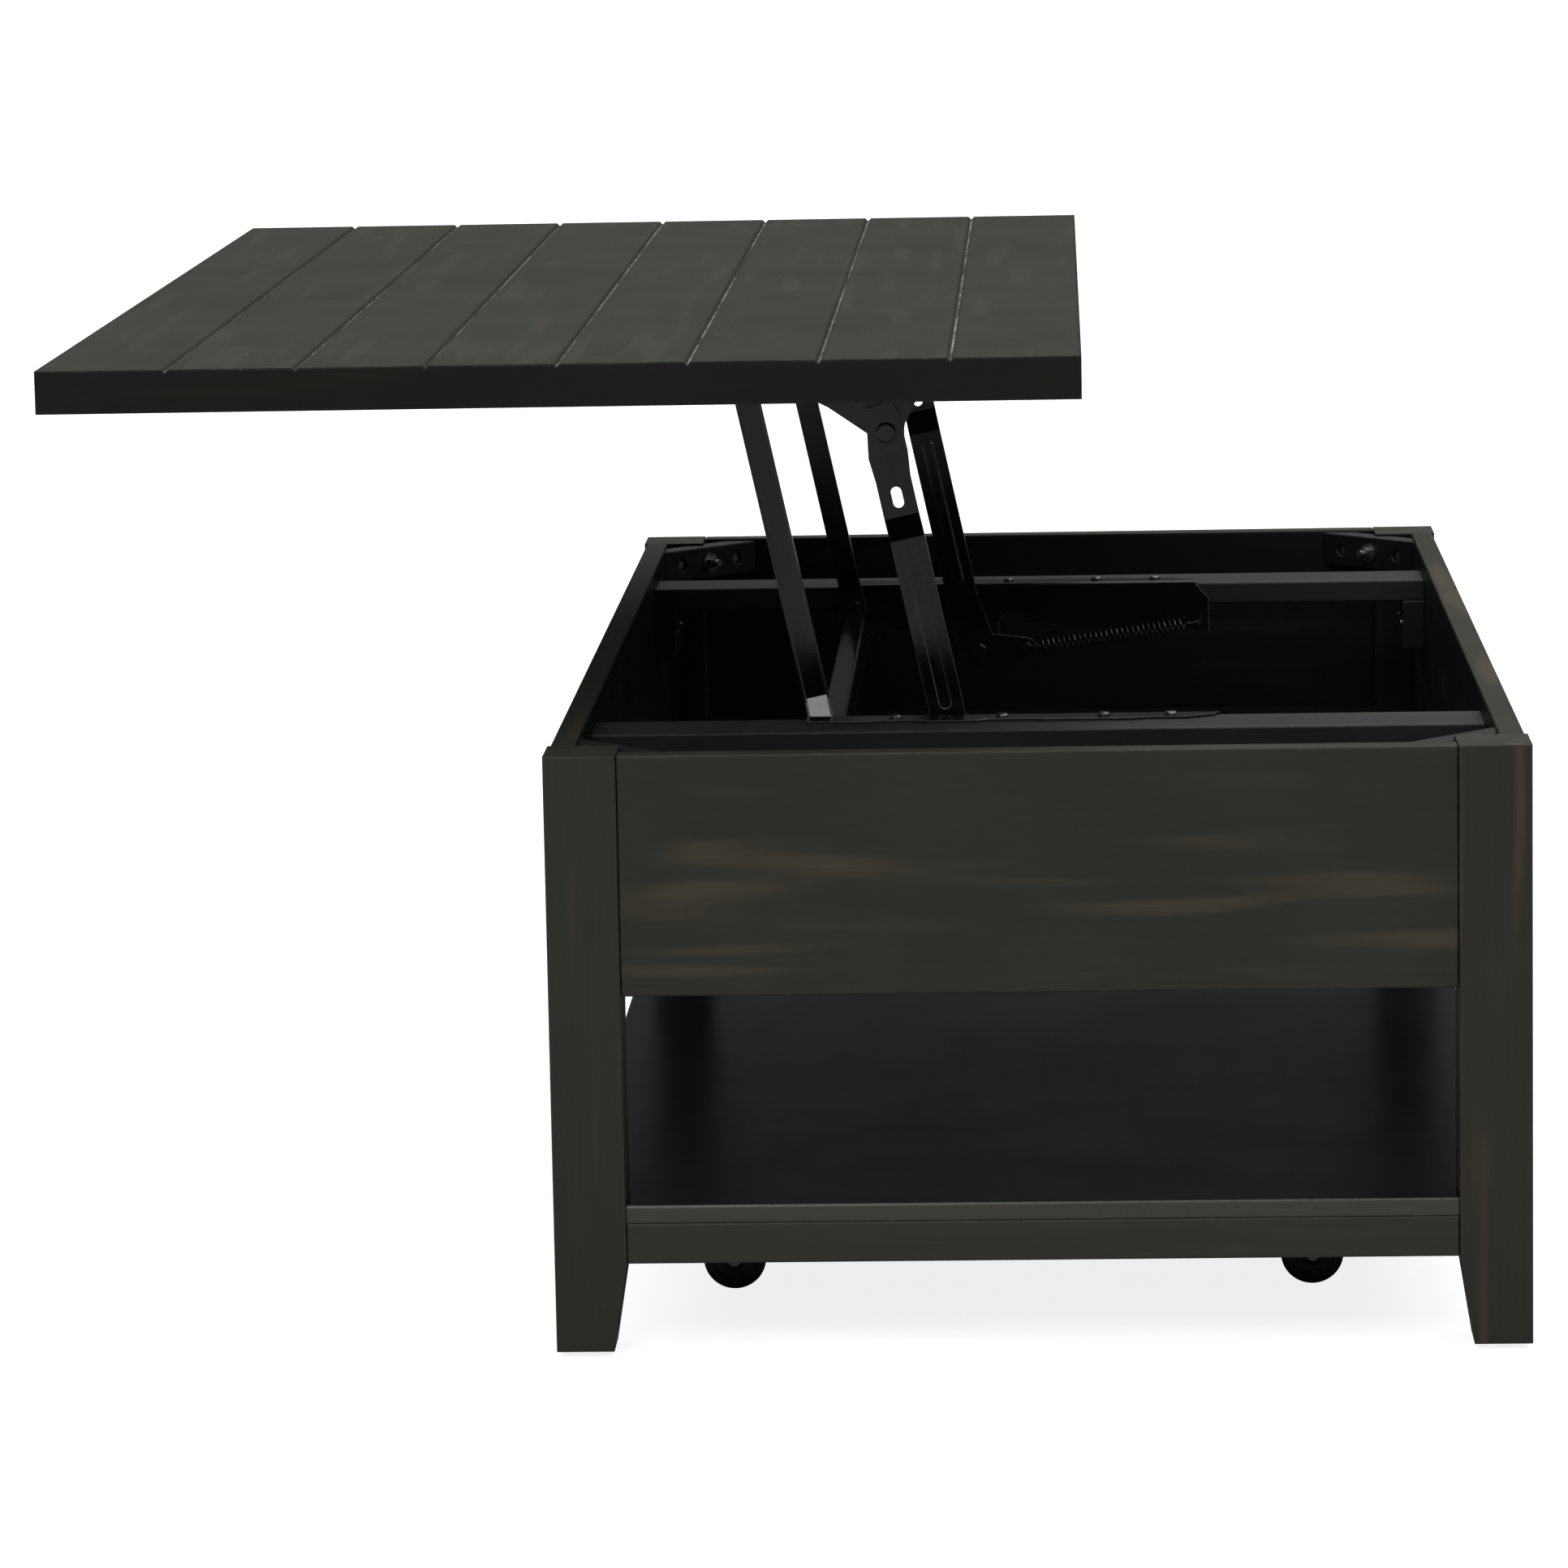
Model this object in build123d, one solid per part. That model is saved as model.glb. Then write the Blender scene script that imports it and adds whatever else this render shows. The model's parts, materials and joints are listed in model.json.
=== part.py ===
from build123d import *
import math
import os

os.makedirs("parts", exist_ok=True)

# Lift-top coffee table on four hidden casters, top raised.
# Length runs along Y, the top lifts towards -X, Z is up, floor at Z = 0. Millimetres.

# overall sizes
base_width = 688.0
base_length = 1236.0
base_height = 426.0
floor_gap = 4.0
top_overhang = 17.0
top_thickness = 30.0
plank_count = 8

# travel of the top from closed to raised
top_shift = 326.0
top_rise = 245.5
closed_gap = 1.0
raised_lean = 12.0

# framing
leg_size = 51.0
leg_taper = 10.0
panel_recess = 2.0
panel_thickness = 18.0
apron_height = 171.0
box_depth = 155.0
floor_thickness = 9.0
rail_height = 29.0
rail_thickness = 20.0
rail_bottom = 67.0
shelf_thickness = 13.0
shelf_inset = 7.5

# lift frame battens
batten_inner = 367.0
batten_width = 59.0
batten_thickness = 18.0
batten_drop = 14.0

# lift mechanism
main_pivot_x = -51.0
main_pivot_z = 361.0
link_pivot_dx = -104.0
link_pivot_dz = 40.0
pin_r = 4.0
running_gap = 0.06
plate = 2.0
arm_plate = 3.0
link_plate = 2.5
link_half_width = 9.2
tube_size = 20.0

# springs
spring_wire = 2.0
spring_mean_r = 5.2
spring_turns = 27
hook_dx = 40.4
hook_dz = 3.3
anchor_x = 135.0
anchor_z = 384.0

# casters
wheel_r = 23.0
wheel_width = 20.0
caster_trail = 15.0
caster_x = 212.0
caster_y = 408.0

# derived positions
half_w = base_width / 2
half_l = base_length / 2
base_top = floor_gap + base_height
apron_bottom = base_top - apron_height
wall_x = half_w - panel_recess - panel_thickness
wall_y = half_l - panel_recess - panel_thickness
leg_in_x = half_w - leg_size
leg_in_y = half_l - leg_size
box_floor_top = base_top - box_depth
shelf_bottom = rail_bottom + rail_height
shelf_top = shelf_bottom + shelf_thickness
batten_top = base_top - batten_drop
batten_bottom = batten_top - batten_thickness
top_bottom = base_top + closed_gap + top_rise
top_half_w = half_w + top_overhang
top_half_l = half_l + top_overhang
lean = math.radians(raised_lean)
arm_length = (top_shift**2 + top_rise**2) / (2 * (top_shift * math.sin(lean) + top_rise * math.cos(lean)))
top_pivot_x = main_pivot_x - arm_length * math.sin(lean)
top_pivot_z = main_pivot_z + arm_length * math.cos(lean)
link_pivot_x = main_pivot_x + link_pivot_dx
link_pivot_z = main_pivot_z + link_pivot_dz
link_top_x = top_pivot_x + link_pivot_dx
link_top_z = top_pivot_z + link_pivot_dz
# the origin is the middle of the opened table's footprint
origin_x = (half_w - top_shift - top_half_w) / 2
to_origin = Pos(-origin_x, 0, 0)


def block(x0, x1, y0, y1, z0, z1):
    return Pos((x0 + x1) / 2, (y0 + y1) / 2, (z0 + z1) / 2) * Box(x1 - x0, y1 - y0, z1 - z0)


def outline(points):
    return make_face(Polyline(*points, close=True))


def across_y(face, y0, y1):
    return Pos(0, y1, 0) * extrude(Plane.XZ * face, amount=y1 - y0)


def across_x(face, x0, x1):
    return Pos(x0, 0, 0) * extrude(Plane.YZ * face, amount=x1 - x0)


def rod_y(x, z, r, y0, y1):
    return Pos(x, (y0 + y1) / 2, z) * Rot(90, 0, 0) * Cylinder(r, y1 - y0)


def rod_z(x, y, r, z0, z1):
    return Pos(x, y, (z0 + z1) / 2) * Cylinder(r, z1 - z0)


def rod_x(y, z, r, x0, x1):
    return Pos((x0 + x1) / 2, y, z) * Rot(0, 90, 0) * Cylinder(r, x1 - x0)


def eased(shape, size, axis):
    return chamfer(shape.edges().filter_by(axis), size)


def rear(shape):
    return mirror(shape, about=Plane.XZ)


def right(shape):
    return mirror(shape, about=Plane.YZ)


def save(shape, name):
    export_step(to_origin * shape, "parts/" + name + ".step")


def save_group(shapes, name):
    export_step(Compound(children=[to_origin * s for s in shapes]), "parts/" + name + ".step")


# legs: square posts, both inner faces tapered below the lower rails
leg = block(leg_in_x, half_w, leg_in_y, half_l, floor_gap, base_top)
taper_x = outline([
    (leg_in_x - 1, rail_bottom),
    (leg_in_x, rail_bottom),
    (leg_in_x + leg_taper, floor_gap),
    (leg_in_x + leg_taper, floor_gap - 1),
    (leg_in_x - 1, floor_gap - 1),
])
taper_y = outline([
    (leg_in_y - 1, rail_bottom),
    (leg_in_y, rail_bottom),
    (leg_in_y + leg_taper, floor_gap),
    (leg_in_y + leg_taper, floor_gap - 1),
    (leg_in_y - 1, floor_gap - 1),
])
leg = chamfer(leg.edges().filter_by(Axis.Z), 0.8)
leg = leg - across_y(taper_x, leg_in_y - 2, half_l + 2)
leg = leg - across_x(taper_y, leg_in_x - 2, half_w + 2)

# corner braces: diagonal blocks notched over the leg, held by a hanger bolt and two screws
brace_reach = 75.0
brace_back = 49.5
brace_bottom = base_top - 29.0
brace_top = base_top - 2.0
brace_mid = (brace_bottom + brace_top) / 2
brace = Pos(0, 0, brace_bottom) * extrude(
    outline([
        (wall_x - brace_reach, wall_y),
        (wall_x, wall_y - brace_reach),
        (wall_x, wall_y - brace_back),
        (wall_x - brace_back, wall_y),
    ]),
    amount=brace_top - brace_bottom,
)
brace = brace - block(leg_in_x - 0.2, half_w, leg_in_y - 0.2, half_l, 0, base_top + 1)
bolt_axis = Pos(wall_x - brace_reach / 2, wall_y - brace_reach / 2, brace_mid) * Rot(0, 0, 45) * Rot(0, 90, 0)
screw_spread = 32.0
bolt_r = 3.0
bolt_hole = bolt_axis * Pos(0, 0, 12) * Cylinder(bolt_r + 0.1, 90)
hanger_bolt = bolt_axis * Pos(0, 0, 11.5) * Cylinder(bolt_r, 47)
washer = bolt_axis * Pos(0, 0, -0.75) * (Cylinder(8, 1.5) - Cylinder(bolt_r + 0.2, 3))
nut_body = extrude(RegularPolygon(5.2, 6), amount=5) - Pos(0, 0, 2.5) * Cylinder(bolt_r + 0.05, 6)
nut = bolt_axis * Pos(0, 0, -6.5) * chamfer(nut_body.edges().group_by(Axis.Z)[-1].filter_by(GeomType.LINE), 0.5)
brace = brace - bolt_hole
brace_screw_list = []
for side in (-1, 1):
    seat = bolt_axis * Pos(0, side * screw_spread, 0)
    brace = brace - seat * Pos(0, 0, 2.5) * Cylinder(5, 5.2)
    brace = brace - seat * Pos(0, 0, 10) * Cylinder(2.2, 40)
    head = Pos(0, 0, 3.8) * Cylinder(4.3, 2.4)
    head = fillet(head.edges().group_by(Axis.Z)[0], 1.4)
    screw = Pos(0, 0, 17.5) * Cylinder(2, 26) + head
    brace_screw_list.append(seat * screw)
leg = leg - bolt_hole

corners = [
    ("right_rear", lambda s: s),
    ("right_front", rear),
    ("left_rear", right),
    ("left_front", lambda s: rear(right(s))),
]
bolts = []
washers = []
nuts = []
brace_screws = []
for corner_name, place in corners:
    save(place(leg), "leg_" + corner_name)
    save(place(brace), "corner_brace_" + corner_name)
    bolts.append(place(hanger_bolt))
    washers.append(place(washer))
    nuts.append(place(nut))
    for screw in brace_screw_list:
        brace_screws.append(place(screw))
save_group(bolts, "hanger_bolts")
save_group(washers, "hanger_washers")
save_group(nuts, "hanger_nuts")
save_group(brace_screws, "brace_screws")

# aprons round the storage box, grooved for its floor
groove_depth = 6.0
floor_rebate = 2.5
tongue_top = box_floor_top - floor_rebate
floor_groove = block(
    -wall_x - groove_depth, wall_x + groove_depth,
    -wall_y - groove_depth, wall_y + groove_depth,
    box_floor_top - floor_thickness - 0.1, tongue_top + 0.1,
)
joint_gap = 0.4
end_apron = block(
    -leg_in_x + joint_gap, leg_in_x - joint_gap, wall_y, wall_y + panel_thickness, apron_bottom, base_top
)
end_apron = chamfer(end_apron.edges(), 0.8) - floor_groove
side_apron = block(
    wall_x, wall_x + panel_thickness, -leg_in_y + joint_gap, leg_in_y - joint_gap, apron_bottom, base_top
)
side_apron = chamfer(side_apron.edges(), 0.8) - floor_groove
for screw in brace_screw_list:
    hole = Compound(children=[screw])
    end_apron = end_apron - hole
    end_apron = end_apron - right(hole)
    side_apron = side_apron - hole
    side_apron = side_apron - rear(hole)

# support blocks under the batten ends, each screwed to a side apron
block_height = 40.0
block_thickness = 18.0
block_z = batten_bottom - block_height / 2
support = block(
    wall_x - block_thickness, wall_x, batten_inner, batten_inner + batten_width,
    batten_bottom - block_height, batten_bottom,
)
support = chamfer(support.edges().filter_by(Axis.Y), 1.0)
panel_screw_list = []
for screw_y in (batten_inner + 14, batten_inner + batten_width - 14):
    head_x = wall_x - block_thickness
    screw = rod_x(screw_y, block_z, 2.0, head_x - 0.5, wall_x + 11)
    head = Pos(head_x - 1.2, screw_y, block_z) * Rot(0, 90, 0) * Cylinder(4.2, 2.4)
    head = fillet(head.edges().group_by(Axis.X)[0], 1.4)
    panel_screw_list.append(screw + head)
    hole = rod_x(screw_y, block_z, 2.05, head_x - 1, wall_x + 12)
    support = support - hole
    side_apron = side_apron - hole
    side_apron = side_apron - rear(hole)
save(end_apron, "end_apron_rear")
save(rear(end_apron), "end_apron_front")
save(side_apron, "side_apron_right")
save(right(side_apron), "side_apron_left")
support_blocks = []
panel_screws = []
for corner_name, place in corners:
    support_blocks.append(place(support))
    for screw in panel_screw_list:
        panel_screws.append(place(screw))
save_group(support_blocks, "batten_support_blocks")
save_group(panel_screws, "panel_screws")

# floor of the storage box, rebated edges held in the apron grooves, corners cut round the legs
box_floor = block(
    -wall_x - groove_depth + 0.3, wall_x + groove_depth - 0.3,
    -wall_y - groove_depth + 0.3, wall_y + groove_depth - 0.3,
    box_floor_top - floor_thickness, tongue_top,
)
box_floor = box_floor + block(
    -wall_x + 0.3, wall_x - 0.3, -wall_y + 0.3, wall_y - 0.3, tongue_top, box_floor_top
)
leg_square = block(leg_in_x - 0.3, half_w + 1, leg_in_y - 0.3, half_l + 1, 0, base_top + 1)
for corner_name, place in corners:
    box_floor = box_floor - place(leg_square)
save(box_floor, "box_floor")

# lower rails and the open shelf that lies on them
end_rail = block(
    -leg_in_x + joint_gap, leg_in_x - joint_gap,
    half_l - panel_recess - rail_thickness, half_l - panel_recess, rail_bottom, shelf_bottom,
)
end_rail = chamfer(end_rail.edges(), 0.8)
shelf_side = half_w - shelf_inset
side_rail = block(
    shelf_side - rail_thickness, shelf_side,
    -leg_in_y + joint_gap, leg_in_y - joint_gap, rail_bottom, shelf_bottom,
)
side_rail = chamfer(side_rail.edges(), 0.8)
shelf = block(
    -shelf_side, shelf_side,
    -half_l + panel_recess, half_l - panel_recess, shelf_bottom, shelf_top,
)
shelf = chamfer(shelf.edges().group_by(Axis.Z)[-1], 1.0)
shelf = chamfer(shelf.edges().group_by(Axis.Z)[0], 0.8)
for corner_name, place in corners:
    shelf = shelf - place(leg_square)
save(end_rail, "lower_rail_rear")
save(rear(end_rail), "lower_rail_front")
save(side_rail, "lower_rail_right")
save(right(side_rail), "lower_rail_left")
save(shelf, "shelf_board")

# caster battens under the shelf
caster_batten_width = 70.0
plate_x = 60.0
plate_y = 46.0
plate_thickness = 2.5
caster_batten = block(
    -shelf_side + rail_thickness + 0.3, shelf_side - rail_thickness - 0.3,
    caster_y - caster_batten_width / 2, caster_y + caster_batten_width / 2, rail_bottom, shelf_bottom,
)
caster_batten = chamfer(caster_batten.edges().filter_by(Axis.X), 1.0)
caster_screw_spots = []
for sx in (-1, 1):
    for sy in (-1, 1):
        caster_screw_spots.append((sx * (plate_x / 2 - 7.5), sy * (plate_y / 2 - 7.5)))
for cx in (-caster_x, caster_x):
    for sx, sy in caster_screw_spots:
        caster_batten = caster_batten - rod_z(cx + sx, caster_y + sy, 2.05, rail_bottom - 1, rail_bottom + 17)
save_group([caster_batten, rear(caster_batten)], "caster_battens")

# swivel casters: top plate with raceway and kingpin, fork, axle, wheel and four screws each
plate_bottom = rail_bottom - plate_thickness
race_bottom = plate_bottom - 4.0
crown_top = race_bottom - 0.3
crown_bottom = crown_top - 3.0
cheek_in = 12.0
cheek_out = 14.0
axle_r = 3.0
caster_plate = block(-plate_x / 2, plate_x / 2, -plate_y / 2, plate_y / 2, plate_bottom, rail_bottom)
caster_plate = fillet(caster_plate.edges().filter_by(Axis.Z), 5)
race = Pos(0, 0, (race_bottom + plate_bottom) / 2) * Cylinder(17, plate_bottom - race_bottom)
race = fillet(race.edges().group_by(Axis.Z)[0], 2)
caster_plate = caster_plate + race
caster_plate = caster_plate + rod_z(0, 0, pin_r, crown_bottom - 0.3, race_bottom)
kingpin_head = Pos(0, 0, crown_bottom - 1.4) * Cylinder(6.5, 2.2)
caster_plate = caster_plate + fillet(kingpin_head.edges().group_by(Axis.Z)[0], 1)
for sx, sy in caster_screw_spots:
    caster_plate = caster_plate - rod_z(sx, sy, 2.4, plate_bottom - 1, rail_bottom + 1)

cheek_outline = make_hull((
    Pos(0, crown_bottom + 1) * Rectangle(28, 4)
    + Pos(-caster_trail, wheel_r) * Circle(8)
).edges())
cheek = across_y(cheek_outline, cheek_in, cheek_out)
crown = Pos(0, 0, (crown_top + crown_bottom) / 2) * Cylinder(16, crown_top - crown_bottom)
crown = crown & block(-20, 20, -cheek_out, cheek_out, crown_bottom - 1, crown_top + 1)
fork = crown + cheek + rear(cheek)
fork = fork - rod_z(0, 0, pin_r + running_gap, crown_bottom - 2, crown_top + 1)
fork = fork - rod_y(-caster_trail, wheel_r, axle_r + 0.05, -20, 20)

axle = rod_y(-caster_trail, wheel_r, axle_r, -cheek_out - 0.3, cheek_out + 0.3)
axle_head = rod_y(-caster_trail, wheel_r, 5, cheek_out + 0.1, cheek_out + 2.6)
axle_head = fillet(axle_head.edges().group_by(Axis.Y)[-1], 1)
axle = axle + axle_head + rear(axle_head)

wheel = rod_y(-caster_trail, wheel_r, wheel_r, -wheel_width / 2, wheel_width / 2)
wheel = fillet(wheel.edges(), 3.5)
for side in (-1, 1):
    recess = rod_y(-caster_trail, wheel_r, 17, 7, 12) - rod_y(-caster_trail, wheel_r, 9, 6, 13)
    wheel = wheel - (recess if side > 0 else rear(recess))
wheel = wheel + rod_y(-caster_trail, wheel_r, 8, -cheek_in + 0.5, cheek_in - 0.5)
wheel = wheel - rod_y(-caster_trail, wheel_r, axle_r + running_gap, -20, 20)

caster_screw = rod_z(0, 0, 2.0, plate_bottom - 0.5, rail_bottom + 15)
caster_screw_head = Pos(0, 0, plate_bottom - 1.1) * Cylinder(4.0, 2.0)
caster_screw = caster_screw + fillet(caster_screw_head.edges().group_by(Axis.Z)[0], 1.2)

caster_spots = [
    ("left_front", -caster_x, -caster_y),
    ("right_front", caster_x, -caster_y),
    ("left_rear", -caster_x, caster_y),
    ("right_rear", caster_x, caster_y),
]
caster_plates = []
caster_screws = []
for caster_name, cx, cy in caster_spots:
    spot = Pos(cx, cy, 0)
    caster_plates.append(spot * caster_plate)
    for sx, sy in caster_screw_spots:
        caster_screws.append(spot * Pos(sx, sy, 0) * caster_screw)
    save(spot * fork, "caster_fork_" + caster_name)
    save(spot * axle, "caster_axle_" + caster_name)
    save(spot * wheel, "caster_wheel_" + caster_name)
save_group(caster_plates, "caster_plates")
save_group(caster_screws, "caster_screws")


def inboard(distance):
    return -batten_inner + distance


# base bracket: angle plate, one leg on the batten, one hanging on its inner side
flange_top = batten_top + plate
bracket_left = link_pivot_x - 13
bracket_right = 143.0
lobe_r = 17.0
hang = outline([
    (bracket_left, flange_top),
    (bracket_left, link_pivot_z - 15),
    (link_pivot_x + 14, link_pivot_z - 16),
    (main_pivot_x - 62, main_pivot_z + 16),
    (main_pivot_x - lobe_r, main_pivot_z - 2),
    (main_pivot_x + lobe_r, main_pivot_z - 2),
    (main_pivot_x + lobe_r, main_pivot_z + 23),
    (main_pivot_x + 23, main_pivot_z + 31),
    (main_pivot_x + 38, main_pivot_z + 31),
    (main_pivot_x + 41, main_pivot_z + 23),
    (82, 377),
    (bracket_right, 375),
    (bracket_right, 403),
    (130, flange_top),
])
hang_plate = across_y(hang, inboard(0.2), inboard(0.2 + plate))
hang_plate = hang_plate + rod_y(main_pivot_x, main_pivot_z - 1, lobe_r, inboard(0.2), inboard(0.2 + plate))
flange_edge = [
    (bracket_left, inboard(0.2 + plate)),
    (bracket_left, inboard(-24)),
    (-146, inboard(-27)),
    (-121, inboard(-27)),
    (-112, inboard(-23)),
    (-90, inboard(-23)),
    (-80, inboard(-27)),
    (-44, inboard(-27)),
    (-36, inboard(-21)),
    (-4, inboard(-21)),
    (4, inboard(-24)),
    (70, inboard(-24)),
    (80, inboard(-20)),
    (108, inboard(-20)),
    (130, inboard(-8)),
    (134, inboard(0.2 + plate)),
]
flange = Pos(0, 0, batten_top) * extrude(outline(flange_edge), amount=plate)
flange = fillet(flange.edges().filter_by(Axis.Z).sort_by(Axis.Y)[:10], 2.5)
base_bracket = flange + hang_plate
outer_bend = base_bracket.edges().filter_by(Axis.X).filter_by_position(Axis.Z, flange_top - 0.1, flange_top + 0.1)
outer_bend = outer_bend.filter_by_position(Axis.Y, inboard(plate) + 0.1, inboard(plate) + 0.3)
base_bracket = fillet(outer_bend, 1.8)
base_bracket = base_bracket - rod_y(main_pivot_x, main_pivot_z, pin_r + 0.05, inboard(-3), inboard(5))
base_bracket = base_bracket - rod_y(link_pivot_x, link_pivot_z, pin_r + 0.05, inboard(-3), inboard(5))
base_bracket = base_bracket - rod_y(anchor_x, anchor_z, 2.6, inboard(-3), inboard(5))
bracket_screw_x = (-103.0, -25.0, 49.0, 98.0)
screw_back = -13.0
for sx in bracket_screw_x:
    base_bracket = base_bracket - rod_z(sx, inboard(screw_back), 2.4, batten_top - 1, flange_top + 1)
save(base_bracket, "base_bracket_front")
save(rear(base_bracket), "base_bracket_rear")

# battens across the box that carry the brackets
lift_batten = block(
    -wall_x + 0.2, wall_x - 0.2, -batten_inner - batten_width, -batten_inner, batten_bottom, batten_top
)
lift_batten = chamfer(lift_batten.edges().filter_by(Axis.X), 1.0)
bracket_screws = []
for sx in bracket_screw_x:
    lift_batten = lift_batten - rod_z(sx, inboard(screw_back), 2.05, batten_bottom + 1, batten_top + 1)
    screw = rod_z(sx, inboard(screw_back), 2.0, batten_bottom + 2, flange_top + 0.5)
    head = Pos(sx, inboard(screw_back), flange_top + 1.4) * Cylinder(4.4, 2.8)
    head = fillet(head.edges().group_by(Axis.Z)[-1], 1.8)
    head = head - Pos(sx, inboard(screw_back), flange_top + 2.4) * Box(5, 1, 1.4)
    head = head - Pos(sx, inboard(screw_back), flange_top + 2.4) * Box(1, 5, 1.4)
    bracket_screws.append(screw + head)
    bracket_screws.append(rear(screw + head))
save(lift_batten, "lift_batten_front")
save(rear(lift_batten), "lift_batten_rear")
save_group(bracket_screws, "bracket_screws")

# planes of the plates, measured inboard from the batten
foot_plane = 3.0
main_plane = 16.0
neck_plane = 9.9
head_plane = 9.2
link_plane = 10.2
web_plane = 13.2

# arms are drawn upright on their lower pivot, then leaned
lean_main = Pos(main_pivot_x, 0, main_pivot_z) * Rot(0, -raised_lean, 0)
lean_link = Pos(link_pivot_x, 0, link_pivot_z) * Rot(0, -raised_lean, 0)

# main arm: pressed strip joggled at foot and neck, with a slot, a rib and a lever for the spring
hook_w = hook_dx * math.cos(lean) + hook_dz * math.sin(lean)
hook_u = -hook_dx * math.sin(lean) + hook_dz * math.cos(lean)
strip = outline([
    (-15.5, 0),
    (-15.5, 236),
    (-16.8, 254),
    (-10.5, arm_length + 20),
    (9, arm_length + 22),
    (12.6, arm_length + 10),
    (12.6, 254),
    (10.5, 236),
    (10.5, 0),
])
lever = make_hull((Circle(16) + Pos(hook_w, hook_u) * Circle(8)).edges())
knee = make_hull((Circle(16) + Pos(-2.5, 40) * Rectangle(26, 10)).edges())
main_outline = strip + lever + knee
main_side = outline([
    (inboard(foot_plane), -30),
    (inboard(foot_plane), 33),
    (inboard(main_plane), 51),
    (inboard(main_plane), 190),
    (inboard(neck_plane), 208),
    (inboard(neck_plane), 256),
    (inboard(head_plane), 260),
    (inboard(head_plane), arm_length + 40),
    (inboard(head_plane + arm_plate), arm_length + 40),
    (inboard(head_plane + arm_plate), 261),
    (inboard(neck_plane + arm_plate), 257),
    (inboard(neck_plane + arm_plate), 210),
    (inboard(main_plane + arm_plate), 192),
    (inboard(main_plane + arm_plate), 49),
    (inboard(foot_plane + arm_plate), 31),
    (inboard(foot_plane + arm_plate), -30),
])
bends = main_side.vertices().filter_by_position(Axis.Y, 0, 230)
main_side = fillet(bends, 2.5)
main_arm = across_x(main_side, -60, 60) & across_y(main_outline, inboard(-5), inboard(30))
slot = Pos(-2.5, 222) * SlotOverall(16, 8, rotation=90)
main_arm = main_arm - across_y(slot, inboard(-5), inboard(30))
rib = Pos(-2.5, 123) * SlotOverall(124, 9, rotation=90)
rib_out = across_y(rib, inboard(main_plane + arm_plate - 0.5), inboard(main_plane + arm_plate + 1.2))
rib_out = chamfer(rib_out.faces().sort_by(Axis.Y)[-1].edges(), 0.9)
rib_in = across_y(rib, inboard(main_plane - 1), inboard(main_plane + 1.2))
main_arm = main_arm + rib_out
main_arm = main_arm - rib_in
main_arm = main_arm - rod_y(0, 0, pin_r + running_gap, inboard(-5), inboard(30))
main_arm = main_arm - rod_y(0, arm_length, pin_r + running_gap, inboard(-5), inboard(30))
main_arm = lean_main * main_arm
save(main_arm, "main_arm_front")
save(rear(main_arm), "main_arm_rear")

# link arm: narrow channel with lips towards the batten and a flat joggled foot
tube_drop = 14.8
lip = 1.5
lip_plane = 8.0
link_outline = make_hull((
    Pos(0, (arm_length - 14) / 2) * Rectangle(2 * link_half_width, arm_length - 14)
    + Pos(0, arm_length) * Circle(8.5)
    + Pos(0, -20) * Rectangle(2 * link_half_width, 13)
).edges())
link_side = outline([
    (inboard(foot_plane), -40),
    (inboard(foot_plane), 13),
    (inboard(lip_plane), 29),
    (inboard(lip_plane), arm_length + 20),
    (inboard(link_plane + link_plate), arm_length + 20),
    (inboard(link_plane + link_plate), 31),
    (inboard(foot_plane + link_plate), 13),
    (inboard(foot_plane + link_plate), -40),
])
channel_side = outline([
    (inboard(foot_plane - 4), 11),
    (inboard(foot_plane), 13),
    (inboard(link_plane), 31),
    (inboard(link_plane), arm_length + 20),
    (inboard(foot_plane - 4), arm_length + 20),
])
link_arm = across_x(link_side, -30, 30) & across_y(link_outline, inboard(-5), inboard(30))
inner_w = link_half_width - lip
link_arm = link_arm - across_x(channel_side, -inner_w, inner_w)
link_arm = link_arm - rod_y(0, 0, pin_r + running_gap, inboard(-5), inboard(30))
link_arm = link_arm - rod_y(0, arm_length, pin_r + running_gap, inboard(-5), inboard(30))
link_arm = lean_link * link_arm
save(link_arm, "link_arm_front")
save(rear(link_arm), "link_arm_rear")

# cross tube welded between the feet of the two link arms
tube_end = batten_inner - foot_plane - link_plate
tube_section = RectangleRounded(tube_size, tube_size, 2.5) - RectangleRounded(tube_size - 3, tube_size - 3, 1.2)
tube = across_y(Pos(0, -tube_drop) * tube_section, -tube_end, tube_end)
cross_tube = lean_link * tube
save(cross_tube, "cross_tube")

# top bracket: web with two pivot ears below a flange screwed to the top
under = top_bottom
web_left = link_top_x - 14
web_right = top_pivot_x + 72
web = outline([
    (web_left, under),
    (web_left, link_top_z - 5),
    (link_top_x - 7, link_top_z - 10),
    (link_top_x + 40, link_top_z - 10.5),
    (top_pivot_x - 42, top_pivot_z + 18.5),
    (top_pivot_x - 8, top_pivot_z - 5),
    (top_pivot_x + 12, top_pivot_z - 5),
    (top_pivot_x + 14, top_pivot_z + 6),
    (top_pivot_x + 30, top_pivot_z + 38),
    (web_right, top_pivot_z + 44),
    (web_right, under),
])
web_plate = across_y(web, inboard(web_plane), inboard(web_plane + plate))
web_plate = web_plate + rod_y(top_pivot_x, top_pivot_z, 13.5, inboard(web_plane), inboard(web_plane + plate))
top_flange = block(
    web_left, web_right, inboard(web_plane), inboard(web_plane + 30), under - plate, under
)
top_flange = fillet(top_flange.edges().filter_by(Axis.Z).sort_by(Axis.Y)[-2:], 6)
top_bracket = web_plate + top_flange
top_bracket = top_bracket - rod_y(top_pivot_x, top_pivot_z, pin_r + 0.05, inboard(5), inboard(20))
top_bracket = top_bracket - rod_y(link_top_x, link_top_z, pin_r + 0.05, inboard(5), inboard(20))
top_screw_x = [web_left + 12, web_left + 68, web_left + 124, web_right - 12]
top_screw_y = inboard(web_plane + 17)
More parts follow.
